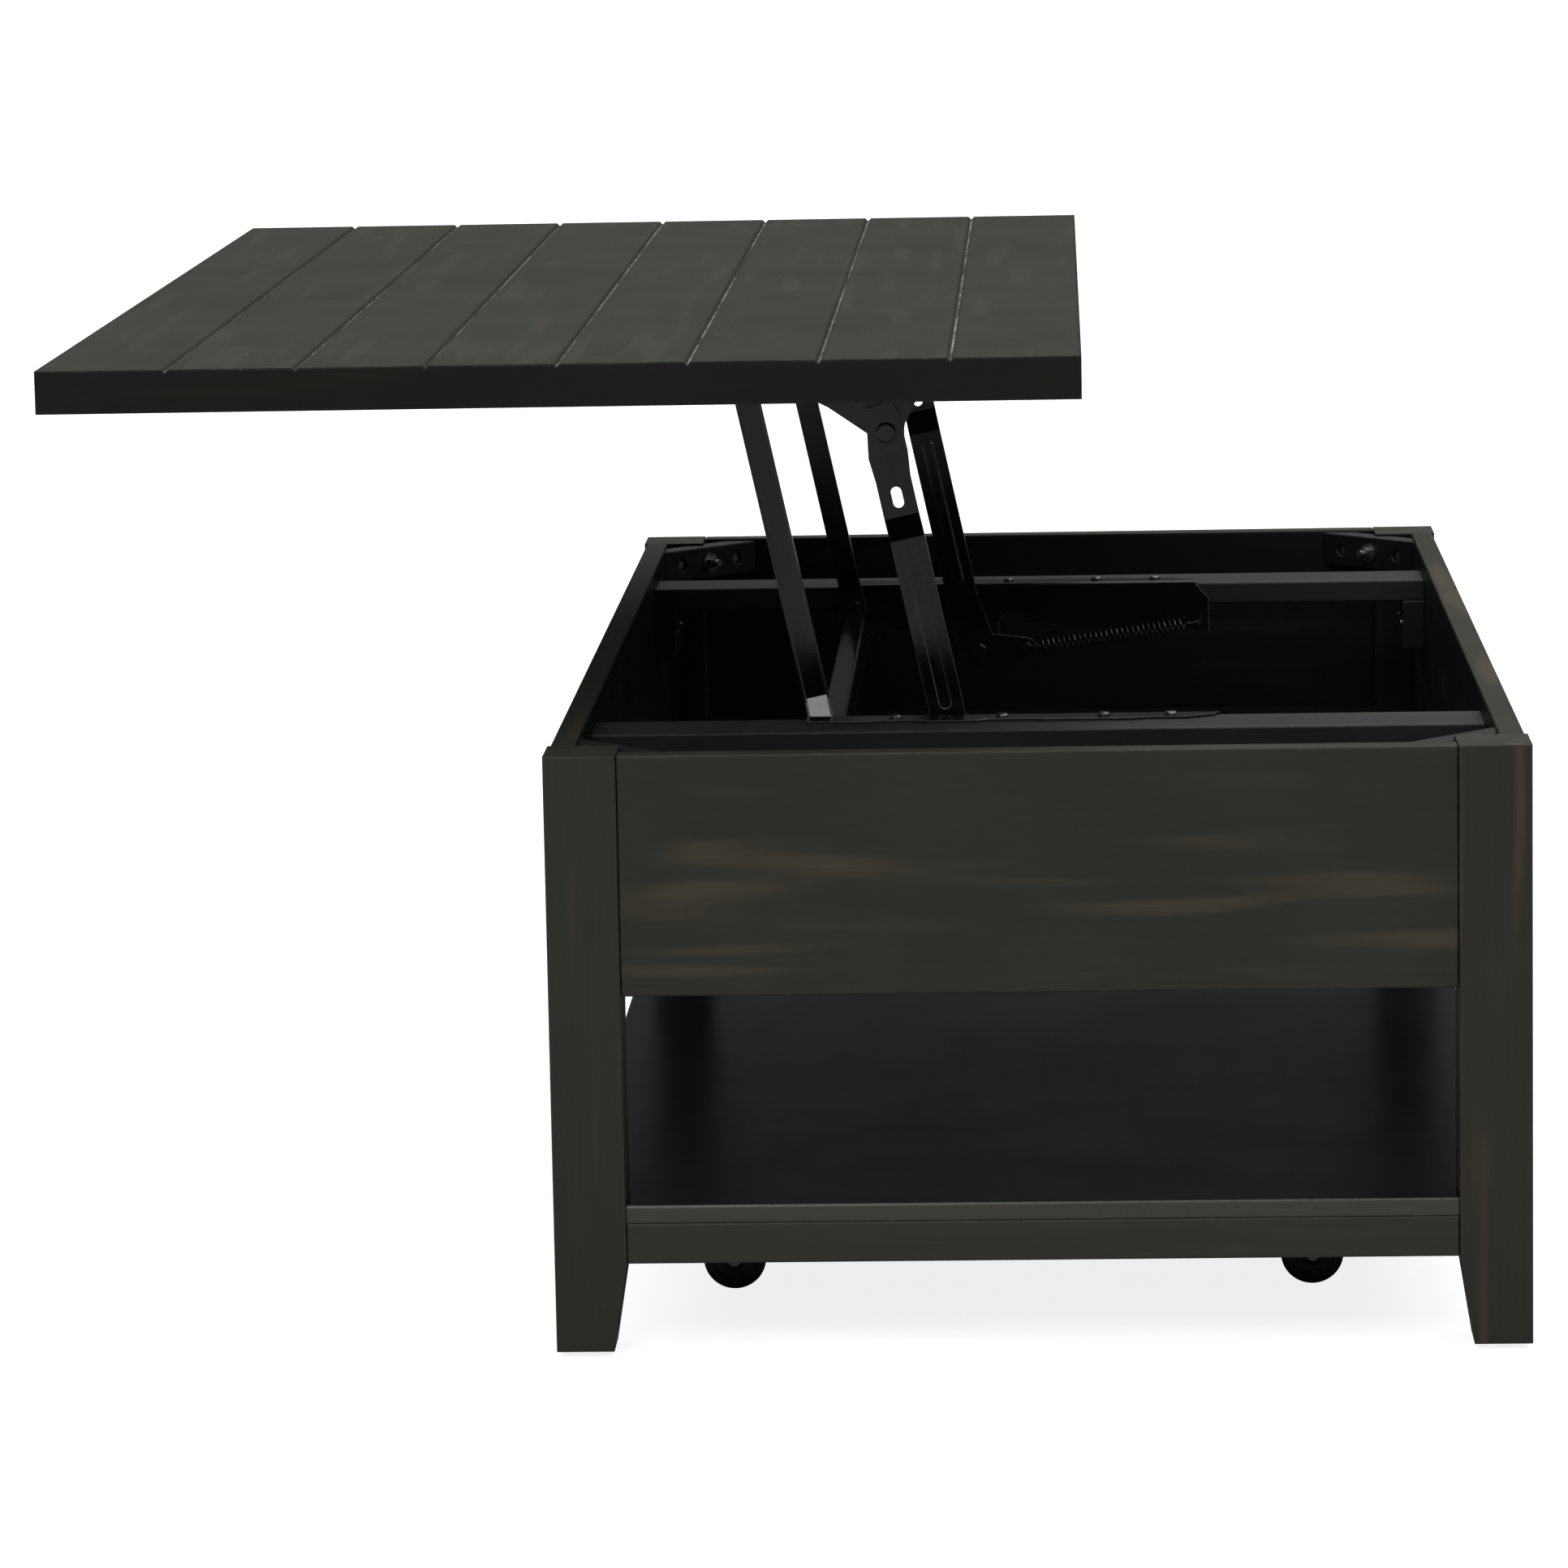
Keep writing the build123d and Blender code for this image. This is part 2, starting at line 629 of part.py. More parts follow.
for sx in top_screw_x:
    top_bracket = top_bracket - rod_z(sx, top_screw_y, 2.4, under - 5, under + 1)
save(top_bracket, "top_bracket_front")
save(rear(top_bracket), "top_bracket_rear")

# pivot rivets, fixed in the brackets, the arms turning on them
low_main_rivet = rod_y(main_pivot_x, main_pivot_z, pin_r, inboard(-0.5), inboard(foot_plane + arm_plate + 0.5))
low_heads = [
    rod_y(main_pivot_x, main_pivot_z, 7, inboard(-2.4), inboard(0.1)),
    rod_y(main_pivot_x, main_pivot_z, 7, inboard(6.3), inboard(8.8)),
]
low_main_rivet = low_main_rivet + fillet(low_heads[0].edges().group_by(Axis.Y)[0], 1.5)
low_main_rivet = low_main_rivet + fillet(low_heads[1].edges().group_by(Axis.Y)[-1], 1.5)
low_link_rivet = rod_y(link_pivot_x, link_pivot_z, pin_r, inboard(0.3), inboard(8.2))
low_link_head = rod_y(link_pivot_x, link_pivot_z, 4.5, inboard(5.8), inboard(8.2))
low_link_rivet = low_link_rivet + fillet(low_link_head.edges().group_by(Axis.Y)[-1], 1.0)
top_main_rivet = rod_y(top_pivot_x, top_pivot_z, pin_r, inboard(8), inboard(16))
top_main_heads = [
    rod_y(top_pivot_x, top_pivot_z, 7.3, inboard(6.3), inboard(8.9)),
    rod_y(top_pivot_x, top_pivot_z, 7, inboard(15.3), inboard(17.5)),
]
top_main_rivet = top_main_rivet + fillet(top_main_heads[0].edges().group_by(Axis.Y)[0], 1.4)
top_main_rivet = top_main_rivet + fillet(top_main_heads[1].edges().group_by(Axis.Y)[-1], 1.2)
top_link_rivet = rod_y(link_top_x, link_top_z, pin_r, inboard(8.5), inboard(16))
top_link_heads = [
    rod_y(link_top_x, link_top_z, 6.2, inboard(7.6), inboard(9.9)),
    rod_y(link_top_x, link_top_z, 6.2, inboard(15.3), inboard(17.5)),
]
top_link_rivet = top_link_rivet + fillet(top_link_heads[0].edges().group_by(Axis.Y)[0], 1.2)
top_link_rivet = top_link_rivet + fillet(top_link_heads[1].edges().group_by(Axis.Y)[-1], 1.2)
base_rivets = [low_main_rivet, low_link_rivet]
top_rivets = [top_main_rivet, top_link_rivet]
save_group(base_rivets + [rear(r) for r in base_rivets], "base_pivot_rivets")
save_group(top_rivets + [rear(r) for r in top_rivets], "top_pivot_rivets")

# raised top: one board with routed grooves that read as planks, banded on all four edges
band = 1.0
groove_half = 2.6
groove_depth_top = 2.4
top_z = top_bottom + top_thickness
top_board = block(
    -top_shift - top_half_w + band, -top_shift + top_half_w - band,
    -top_half_l + band, top_half_l - band, top_bottom, top_z,
)
bands = [
    block(-top_shift - top_half_w, -top_shift + top_half_w, -top_half_l, -top_half_l + band, top_bottom, top_z),
    block(-top_shift - top_half_w, -top_shift + top_half_w, top_half_l - band, top_half_l, top_bottom, top_z),
    block(-top_shift - top_half_w, -top_shift - top_half_w + band, -top_half_l + band, top_half_l - band, top_bottom, top_z),
    block(-top_shift + top_half_w - band, -top_shift + top_half_w, -top_half_l + band, top_half_l - band, top_bottom, top_z),
]
plank_width = 2 * top_half_w / plank_count
for i in range(1, plank_count):
    groove_x = -top_shift - top_half_w + i * plank_width
    vee = outline([
        (groove_x - groove_half, top_z + 0.01),
        (groove_x, top_z - groove_depth_top),
        (groove_x + groove_half, top_z + 0.01),
    ])
    cutter = across_y(vee, -top_half_l - 1, top_half_l + 1)
    top_board = top_board - cutter
    bands[0] = bands[0] - cutter
    bands[1] = bands[1] - cutter
top_screws = []
for sx in top_screw_x:
    for y in (top_screw_y, -top_screw_y):
        top_board = top_board - rod_z(sx, y, 2.05, under - 1, under + 15)
        screw = rod_z(sx, y, 2.0, under - plate - 0.5, under + 14)
        head = Pos(sx, y, under - plate - 1.2) * Cylinder(4.4, 2.4)
        head = fillet(head.edges().group_by(Axis.Z)[0], 1.4)
        top_screws.append(screw + head)
save(top_board, "top_board")
save_group(bands, "top_edge_bands")
save_group(top_screws, "top_screws")

# tension springs from the levers to the bracket ends
spring_plane = 9.1
hook_x = main_pivot_x + hook_dx
hook_z = main_pivot_z + hook_dz
spring_dx = anchor_x - hook_x
spring_dz = anchor_z - hook_z
spring_length = math.hypot(spring_dx, spring_dz)
spring_angle = math.degrees(math.atan2(spring_dz, spring_dx))
end_gap = 13.0
coil_length = spring_length - 2 * end_gap
spring_place = Pos(hook_x, inboard(spring_plane), hook_z) * Rot(0, -spring_angle, 0)
coil_path = Helix(coil_length / spring_turns, coil_length, spring_mean_r)
coil_start = Plane(origin=coil_path @ 0, z_dir=coil_path % 0)
coil = sweep(coil_start * Circle(spring_wire / 2), path=coil_path, is_frenet=True)
coil = spring_place * Pos(end_gap, 0, 0) * Rot(0, 90, 0) * coil


def wire_along(points, bend_r):
    path = FilletPolyline(*points, radius=bend_r)
    start = Plane(origin=path @ 0, z_dir=path % 0)
    return sweep(start * Circle(spring_wire / 2), path=path)


# the lever end is an eye round a shouldered stud, the other end is turned through its hole
rim = -spring_mean_r + 1.2
far_end = spring_length - end_gap
eye_r = 3.4
stud_r = 2.3
eye = spring_place * Rot(90, 0, 0) * Torus(eye_r, spring_wire / 2)
eye = eye + spring_place * wire_along([(end_gap - 1, 0, rim), (end_gap - 1, 0, 0), (eye_r, 0, 0)], 2.5)
stud_neck = inboard(spring_plane + spring_wire / 2 + 0.3)
stud = rod_y(hook_x, hook_z, stud_r, inboard(6.05), stud_neck)
stud = stud + rod_y(hook_x, hook_z, 4.4, stud_neck, stud_neck + 1.4)
stud = chamfer(stud.edges().group_by(Axis.Y)[-1], 0.5)
anchor_leg = spring_place * wire_along(
    [(far_end + 1, 0, rim), (far_end + 1, 0, 0), (spring_length, 0, 0), (spring_length, -11.0, 0)], 2.5
)
save(coil, "spring_coil_front")
save(rear(coil), "spring_coil_rear")
save_group([anchor_leg, rear(anchor_leg)], "spring_anchor_hooks")
save_group([eye, stud, rear(eye), rear(stud)], "spring_lever_hooks")
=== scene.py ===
import json
import math

import bmesh
import bpy
from mathutils import Matrix, Vector


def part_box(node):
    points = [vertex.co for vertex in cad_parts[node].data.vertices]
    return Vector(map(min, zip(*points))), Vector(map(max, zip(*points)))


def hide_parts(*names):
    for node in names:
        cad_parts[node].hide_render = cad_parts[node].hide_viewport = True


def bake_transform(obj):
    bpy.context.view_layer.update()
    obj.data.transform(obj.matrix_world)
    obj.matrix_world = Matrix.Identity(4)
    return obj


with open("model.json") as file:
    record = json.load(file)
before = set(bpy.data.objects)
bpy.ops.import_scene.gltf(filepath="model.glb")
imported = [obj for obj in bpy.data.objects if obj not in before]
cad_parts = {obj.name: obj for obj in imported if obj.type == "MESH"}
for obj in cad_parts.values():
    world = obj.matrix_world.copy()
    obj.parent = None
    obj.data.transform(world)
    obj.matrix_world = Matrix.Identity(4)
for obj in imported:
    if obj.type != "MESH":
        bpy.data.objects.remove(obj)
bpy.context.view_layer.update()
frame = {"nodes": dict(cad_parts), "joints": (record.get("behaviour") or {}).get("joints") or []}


# Legs: four square posts of solid rubberwood, tapered on their two inner faces near the floor.
# They are sprayed charcoal and rubbed back by hand, so the brown undercoat shows in soft
# upright streaks and the paint is thin and pale along the corners.
def add(tree, kind, inputs=None, **settings):
    made = tree.nodes.new(kind)
    for key, value in settings.items():
        setattr(made, key, value)
    for key, value in (inputs or {}).items():
        if isinstance(value, bpy.types.NodeSocket):
            tree.links.new(value, made.inputs[key])
        else:
            made.inputs[key].default_value = value
    return made


def start_group(name, inputs, outputs):
    tree = bpy.data.node_groups.new(name, "ShaderNodeTree")
    for socket, kind, value in inputs:
        tree.interface.new_socket(socket, in_out="INPUT", socket_type=kind).default_value = value
    for socket, kind in outputs:
        tree.interface.new_socket(socket, in_out="OUTPUT", socket_type=kind)
    return tree, tree.nodes.new("NodeGroupInput").outputs, tree.nodes.new("NodeGroupOutput").inputs


def noise(tree, vector, scale, detail=2.0, roughness=0.5):
    values = {"Vector": vector, "Scale": scale, "Detail": detail, "Roughness": roughness}
    return add(tree, "ShaderNodeTexNoise", values).outputs["Fac"]


def soft_step(tree, value, low, high):
    values = {"Value": value, "From Min": low, "From Max": high}
    return add(tree, "ShaderNodeMapRange", values, interpolation_type="SMOOTHSTEP").outputs["Result"]


def maths(tree, operation, first, second=0.0, clamp=False):
    return add(tree, "ShaderNodeMath", {0: first, 1: second}, operation=operation, use_clamp=clamp).outputs[0]


def scaled(tree, vector, by):
    return add(tree, "ShaderNodeVectorMath", {0: vector, 1: by}, operation="MULTIPLY").outputs[0]


def mixed(tree, factor, first, second):
    made = add(tree, "ShaderNodeMix", data_type="RGBA")
    for key, value in ((0, factor), (6, first), (7, second)):
        if isinstance(value, bpy.types.NodeSocket):
            tree.links.new(value, made.inputs[key])
        else:
            made.inputs[key].default_value = value
    return made.outputs[2]


# Edge mask: rubbed pale paint along the wooden edges, and on the steel parts a painted highlight standing in
# for reflections off the rounded edges.
def edge_wear_and_highlight_group():
    tree, given, out = start_group(
        "edge_wear_and_highlight",
        [("Vector", "NodeSocketVector", (0, 0, 0)), ("Width", "NodeSocketFloat", 0.002),
         ("Broken", "NodeSocketFloat", 1.0)],
        [("Mask", "NodeSocketFloat"), ("Normal", "NodeSocketVector")],
    )
    rounded = add(tree, "ShaderNodeBevel", {"Radius": given["Width"]}, samples=4).outputs[0]
    true_normal = add(tree, "ShaderNodeNewGeometry").outputs["True Normal"]
    facing = add(tree, "ShaderNodeVectorMath", {0: rounded, 1: true_normal}, operation="DOT_PRODUCT")
    turned = soft_step(tree, maths(tree, "SUBTRACT", 1.0, facing.outputs["Value"]), 0.004, 0.16)
    patches = soft_step(tree, noise(tree, given["Vector"], 21.0, 4.0, 0.62), 0.34, 0.66)
    fine = soft_step(tree, noise(tree, given["Vector"], 260.0, 3.0, 0.6), 0.3, 0.62)
    missing = maths(tree, "SUBTRACT", 1.0, maths(tree, "MULTIPLY", patches, fine))
    kept = maths(tree, "SUBTRACT", 1.0, maths(tree, "MULTIPLY", missing, given["Broken"]))
    tree.links.new(maths(tree, "MULTIPLY", turned, kept), out["Mask"])
    tree.links.new(rounded, out["Normal"])
    return tree


def rubbed_paint_group():
    colour, vector, number = "NodeSocketColor", "NodeSocketVector", "NodeSocketFloat"
    tree, given, out = start_group(
        "rubbed_paint",
        [
            ("Vector", vector, (0, 0, 0)),
            ("Streak Scale", vector, (1, 1, 1)),
            ("Grain Scale", vector, (1, 1, 1)),
            ("Paint", colour, (0, 0, 0, 1)),
            ("Undercoat", colour, (0, 0, 0, 1)),
            ("Rub", number, 1.0),
            ("Specks", number, 0.0),
        ],
        [("Color", colour), ("Roughness", number), ("Height", number)],
    )
    stretched = scaled(tree, given["Vector"], given["Streak Scale"])
    streaks = soft_step(tree, noise(tree, stretched, 1.0, 0.3, 0.3), 0.56, 0.80)
    grain = noise(tree, scaled(tree, given["Vector"], given["Grain Scale"]), 1.0, 4.0, 0.6)
    brushed = soft_step(tree, grain, 0.28, 0.66)
    gathered = soft_step(tree, noise(tree, given["Vector"], 6.5, 0.0, 0.5), 0.24, 0.50)
    streaks = maths(tree, "MULTIPLY", streaks, gathered)
    broken = add(tree, "ShaderNodeMapRange", {"Value": brushed, "To Min": 0.7, "To Max": 1.0}).outputs[0]
    rubbed = maths(tree, "MULTIPLY", streaks, broken)
    rubbed = maths(tree, "MULTIPLY", rubbed, given["Rub"], clamp=True)
    clouds = noise(tree, given["Vector"], 7.5, 3.0, 0.55)
    shade = add(tree, "ShaderNodeMapRange", {"Value": clouds, "To Min": 0.80, "To Max": 1.22}).outputs[0]
    thin = add(tree, "ShaderNodeMapRange", {"Value": grain, "To Min": 0.88, "To Max": 1.12}).outputs[0]
    tone = maths(tree, "MULTIPLY", shade, thin)
    toned = {0: given["Paint"], "Scale": tone}
    paint = add(tree, "ShaderNodeVectorMath", toned, operation="SCALE").outputs[0]
    cells = add(tree, "ShaderNodeTexVoronoi", {"Vector": given["Vector"], "Scale": 95.0})
    dot = soft_step(tree, cells.outputs["Distance"], 0.085, 0.04)
    chosen = add(tree, "ShaderNodeSeparateColor", {0: cells.outputs["Color"]}).outputs[0]
    dot = maths(tree, "MULTIPLY", dot, soft_step(tree, chosen, 0.62, 0.95))
    dot = maths(tree, "MULTIPLY", dot, given["Specks"], clamp=True)
    surface = mixed(tree, rubbed, paint, given["Undercoat"])
    surface = mixed(tree, dot, surface, (0.26, 0.26, 0.22, 1))
    tree.links.new(surface, out["Color"])
    peel = noise(tree, given["Vector"], 420.0, 2.0, 0.5)
    rough = add(tree, "ShaderNodeMapRange", {"Value": clouds, "To Min": 0.34, "To Max": 0.50}).outputs[0]
    rough = maths(tree, "ADD", rough, maths(tree, "MULTIPLY", rubbed, 0.18))
    tree.links.new(rough, out["Roughness"])
    relief = maths(tree, "ADD", maths(tree, "MULTIPLY", grain, 0.7), maths(tree, "MULTIPLY", peel, 0.3))
    tree.links.new(relief, out["Height"])
    return tree


edge_wear_and_highlight = edge_wear_and_highlight_group()
rubbed_paint = rubbed_paint_group()
along_scales = {
    "x": ((4.6, 66.0, 66.0), (18.0, 520.0, 520.0)),
    "y": ((66.0, 4.6, 66.0), (520.0, 18.0, 520.0)),
    "z": ((76.0, 76.0, 4.6), (520.0, 520.0, 18.0)),
}


def new_material(name):
    material = bpy.data.materials.new(name)
    material.use_nodes = True
    material.node_tree.nodes.clear()
    tree = material.node_tree
    shader = tree.nodes.new("ShaderNodeBsdfPrincipled")
    tree.links.new(shader.outputs[0], tree.nodes.new("ShaderNodeOutputMaterial").inputs[0])
    place = add(tree, "ShaderNodeTexCoord").outputs["Object"]
    return material, tree, shader, place


brown_undercoat = (0.054, 0.0445, 0.0305, 1)
# Near-black for the lacquer inside the box, also used as painted shade on the shelf top.
black_lacquer_and_shade = (0.0050, 0.0049, 0.0042, 1)
wood_edge_width = 0.0022


def painted_wood(name, along, paint, undercoat=brown_undercoat, rub=1.25, specks=0.0,
                 edge=(0.075, 0.075, 0.070, 1), gloss=0.22, polish=0.0, relief=0.3, lacquer_and_shade_mask=None):
    material, tree, shader, place = new_material(name)
    streak_scale, grain_scale = along_scales[along]
    coat = add(tree, "ShaderNodeGroup", node_tree=rubbed_paint)
    tree.links.new(place, coat.inputs["Vector"])
    coat.inputs["Streak Scale"].default_value = streak_scale
    coat.inputs["Grain Scale"].default_value = grain_scale
    coat.inputs["Paint"].default_value = paint
    coat.inputs["Undercoat"].default_value = undercoat
    coat.inputs["Rub"].default_value = rub
    coat.inputs["Specks"].default_value = specks
    wear_and_highlight = add(tree, "ShaderNodeGroup", node_tree=edge_wear_and_highlight)
    tree.links.new(place, wear_and_highlight.inputs["Vector"])
    wear_and_highlight.inputs["Width"].default_value = wood_edge_width
    colour = mixed(tree, wear_and_highlight.outputs["Mask"], coat.outputs["Color"], edge)
    rough = maths(tree, "SUBTRACT", coat.outputs["Roughness"], polish)
    # The given mask turns faces near-black: black lacquer inside the box, and painted shade on the shelf's
    # top.
    if lacquer_and_shade_mask is not None:
        colour = mixed(tree, lacquer_and_shade_mask(tree, place), colour, black_lacquer_and_shade)
    tree.links.new(colour, shader.inputs["Base Color"])
    tree.links.new(rough, shader.inputs["Roughness"])
    shader.inputs["Specular IOR Level"].default_value = gloss
    bump = add(tree, "ShaderNodeBump", {
        "Height": coat.outputs["Height"], "Normal": wear_and_highlight.outputs["Normal"],
        "Strength": relief, "Distance": 0.0004,
    })
    tree.links.new(bump.outputs[0], shader.inputs["Normal"])
    return material


def finish(material, *names):
    for name in names:
        shown = frame["nodes"][name]
        for place in shown.material_slots:
            place.link = "OBJECT"
            place.material = material


box_low, box_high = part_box("box_floor")
box_middle = (box_low + box_high) / 2


def inside_box_group():
    vector, number = "NodeSocketVector", "NodeSocketFloat"
    tree, given, out = start_group(
        "inside_box",
        [("Vector", vector, (0, 0, 0)), ("Middle", vector, (0, 0, 0)), ("Floor", number, 0.26)],
        [("Mask", number)],
    )
    apart = {0: given["Vector"], 1: given["Middle"]}
    out_from = add(tree, "ShaderNodeVectorMath", apart, operation="SUBTRACT")
    flat = scaled(tree, out_from.outputs[0], (1.0, 1.0, 0.0))
    surface = add(tree, "ShaderNodeTexCoord").outputs["Normal"]
    towards = add(tree, "ShaderNodeVectorMath", {0: surface, 1: flat}, operation="DOT_PRODUCT")
    inward = soft_step(tree, maths(tree, "MULTIPLY", towards.outputs["Value"], -1.0), 0.12, 0.18)
    height = add(tree, "ShaderNodeSeparateXYZ", {0: given["Vector"]}).outputs["Z"]
    above = soft_step(tree, maths(tree, "SUBTRACT", height, given["Floor"]), 0.0, 0.002)
    tree.links.new(maths(tree, "MULTIPLY", inward, above), out["Mask"])
    return tree


inside_box = inside_box_group()


def inside_mask(tree, place):
    made = add(tree, "ShaderNodeGroup", node_tree=inside_box)
    tree.links.new(place, made.inputs["Vector"])
    made.inputs["Middle"].default_value = box_middle
    made.inputs["Floor"].default_value = box_low.z
    return made.outputs["Mask"]


charcoal = (0.0272, 0.0250, 0.0205, 1)
red_undercoat = (0.056, 0.041, 0.026, 1)
finish(
    painted_wood("leg_paint", "z", charcoal, red_undercoat, rub=1.2, lacquer_and_shade_mask=inside_mask),
    "leg_left_front", "leg_left_rear", "leg_right_front", "leg_right_rear",
)


# End aprons: wide boards of veneered fibreboard between the legs, grooved inside for the floor.
# Charcoal outside with long level rub-through streaks, plain black lacquer inside the box.
finish(painted_wood("end_apron_paint", "x", charcoal, lacquer_and_shade_mask=inside_mask), "end_apron_front", "end_apron_rear")


# Side aprons: the same board along the long sides, between the same legs.
# The streaks run the length of the table.
finish(
    painted_wood("side_apron_paint", "y", charcoal, gloss=0.13, lacquer_and_shade_mask=inside_mask),
    "side_apron_left", "side_apron_right",
)


# Corner braces: short hardwood blocks set across each corner of the box.
# Black lacquer that shows the grain, rubbed a little on the arrises.
black = (0.0050, 0.0048, 0.0044, 1)
finish(
    painted_wood("brace_paint", "x", black, rub=0.15, edge=(0.045, 0.045, 0.04, 1), gloss=0.4),
    "corner_brace_left_front", "corner_brace_left_rear",
    "corner_brace_right_front", "corner_brace_right_rear",
)


# Brace fixings: a hanger bolt in each leg with its washer and nut, and two screws each side.
# Zinc plated steel, dulled, with a trace of black overspray.
def bare_steel(name, colour, stained=0.5):
    material, tree, shader, place = new_material(name)
    cloud = soft_step(tree, noise(tree, place, 90.0, 3.0, 0.6), 0.45, 0.75)
    cover = maths(tree, "MULTIPLY", cloud, stained)
    overspray = (0.02, 0.02, 0.018, 1)
    tree.links.new(mixed(tree, cover, colour, overspray), shader.inputs["Base Color"])
    scratch = noise(tree, scaled(tree, place, (900.0, 240.0, 900.0)), 1.0, 3.0, 0.6)
    level = add(tree, "ShaderNodeMapRange", {"Value": scratch, "To Min": 0.29, "To Max": 0.50})
    tree.links.new(level.outputs[0], shader.inputs["Roughness"])
    shader.inputs["Metallic"].default_value = 1.0
    bump = add(tree, "ShaderNodeBump", {"Height": scratch, "Strength": 0.2, "Distance": 0.0002})
    tree.links.new(bump.outputs[0], shader.inputs["Normal"])
    return material


screw_steel = bare_steel("screw_steel", (0.30, 0.30, 0.29, 1))
finish(screw_steel, "hanger_bolts", "hanger_washers", "hanger_nuts", "brace_screws")


# Box floor: a thin board held in grooves round the aprons, black lacquer inside and under.
# It is nearly matt and carries a little fine dust.
floor_black = (0.0040, 0.0038, 0.0035, 1)
finish(
    painted_wood("box_floor_paint", "y", floor_black, rub=0.0, specks=0.15, gloss=0.15, relief=0.05),
    "box_floor",
)


# Batten supports: a block at each end of the lift battens, screwed to the side aprons.
# Black lacquer like the rest of the inside, with dark screws.
finish(painted_wood("support_block_paint", "y", black, rub=0.1, gloss=0.4), "batten_support_blocks")
dark_screw = bare_steel("dark_screw_steel", (0.16, 0.16, 0.155, 1), stained=0.7)
finish(dark_screw, "panel_screws")


# Lower rails: four rails between the legs that carry the shelf.
# Charcoal paint a shade lighter than the box, faintly streaked along each rail.
rail_charcoal = (0.0335, 0.0308, 0.0252, 1)
finish(painted_wood("end_rail_paint", "x", rail_charcoal, rub=0.35), "lower_rail_front", "lower_rail_rear")
finish(painted_wood("side_rail_paint", "y", rail_charcoal, rub=0.35), "lower_rail_left", "lower_rail_right")


# Shelf: one broad board that lies on the rails and is cut round the legs.
# Charcoal on its edges; its top is painted near-black as painted shade for the shadow of the box above, with
# a smooth satin finish.
def shaded_top_mask(tree, place):
    surface = add(tree, "ShaderNodeTexCoord").outputs["Normal"]
    return soft_step(tree, add(tree, "ShaderNodeSeparateXYZ", {0: surface}).outputs["Z"], 0.85, 0.95)


# Painted shade: the shelf's upward faces take the near-black colour, standing in for the shadow under the
# box.
shelf_paint = painted_wood(
    "shelf_paint", "y", charcoal, rub=0.1, gloss=0.6, polish=0.22, relief=0.0, lacquer_and_shade_mask=shaded_top_mask,
)
finish(shelf_paint, "shelf_board")


# Caster battens: two plain boards under the shelf that the casters are screwed to.
# Thinly sprayed, so the grain shows more.
finish(painted_wood("under_wood_paint", "x", (0.0085, 0.0082, 0.0070, 1), rub=0.5), "caster_battens")


# Casters: pressed steel top plates and forks with a steel axle, screwed under the battens.
# Black painted forks and moulded black wheels with a fine grey scuff round the tread.
# The edge colour is a painted highlight laid along the rounded steel edges in place of reflections.
def painted_steel(name, paint, edge=(0.05, 0.05, 0.048, 1), edge_width=0.0009, gloss=0.3):
    material, tree, shader, place = new_material(name)
    wear_and_highlight = add(tree, "ShaderNodeGroup", node_tree=edge_wear_and_highlight)
    tree.links.new(place, wear_and_highlight.inputs["Vector"])
    wear_and_highlight.inputs["Width"].default_value = edge_width
    wear_and_highlight.inputs["Broken"].default_value = 0.45
    cloud = noise(tree, place, 26.0, 4.0, 0.6)
    tone = add(tree, "ShaderNodeMapRange", {"Value": cloud, "To Min": 0.7, "To Max": 1.35}).outputs[0]
    body = add(tree, "ShaderNodeVectorMath", {0: paint[:3], "Scale": tone}, operation="SCALE").outputs[0]
    # Painted highlight: the edge colour is mixed in along the edges.
    tree.links.new(mixed(tree, wear_and_highlight.outputs["Mask"], body, edge), shader.inputs["Base Color"])
    smear = noise(tree, scaled(tree, place, (30.0, 30.0, 9.0)), 1.0, 4.0, 0.65)
    level = add(tree, "ShaderNodeMapRange", {
        "Value": smear, "From Min": 0.25, "From Max": 0.75, "To Min": 0.09, "To Max": 0.26,
    })
    tree.links.new(level.outputs[0], shader.inputs["Roughness"])
    shader.inputs["Specular IOR Level"].default_value = gloss
    peel = noise(tree, place, 620.0, 2.0, 0.5)
    bump = add(tree, "ShaderNodeBump", {
        "Height": peel, "Normal": wear_and_highlight.outputs["Normal"], "Strength": 0.12, "Distance": 0.0003,
    })
    tree.links.new(bump.outputs[0], shader.inputs["Normal"])
    return material


caster_places = ("left_front", "left_rear", "right_front", "right_rear")
caster_steel = painted_steel("caster_steel", (0.012, 0.012, 0.012, 1))
finish(caster_steel, "caster_plates", *(f"caster_fork_{corner}" for corner in caster_places))
finish(screw_steel, "caster_screws", *(f"caster_axle_{corner}" for corner in caster_places))


def wheel_material():
    material, tree, shader, place = new_material("caster_tread")
    cloud = noise(tree, place, 60.0, 4.0, 0.6)
    scuff = soft_step(tree, noise(tree, scaled(tree, place, (60.0, 900.0, 60.0)), 1.0, 3.0, 0.6), 0.48, 0.7)
    worn = maths(tree, "MULTIPLY", scuff, soft_step(tree, cloud, 0.4, 0.65))
    colour = mixed(tree, worn, (0.008, 0.008, 0.008, 1), (0.035, 0.034, 0.032, 1))
    tree.links.new(colour, shader.inputs["Base Color"])
    level = add(tree, "ShaderNodeMapRange", {"Value": cloud, "To Min": 0.28, "To Max": 0.6})
    tree.links.new(level.outputs[0], shader.inputs["Roughness"])
    bump = add(tree, "ShaderNodeBump", {"Height": scuff, "Strength": 0.15, "Distance": 0.0002})
    tree.links.new(bump.outputs[0], shader.inputs["Normal"])
    return material


finish(wheel_material(), *(f"caster_wheel_{corner}" for corner in caster_places))


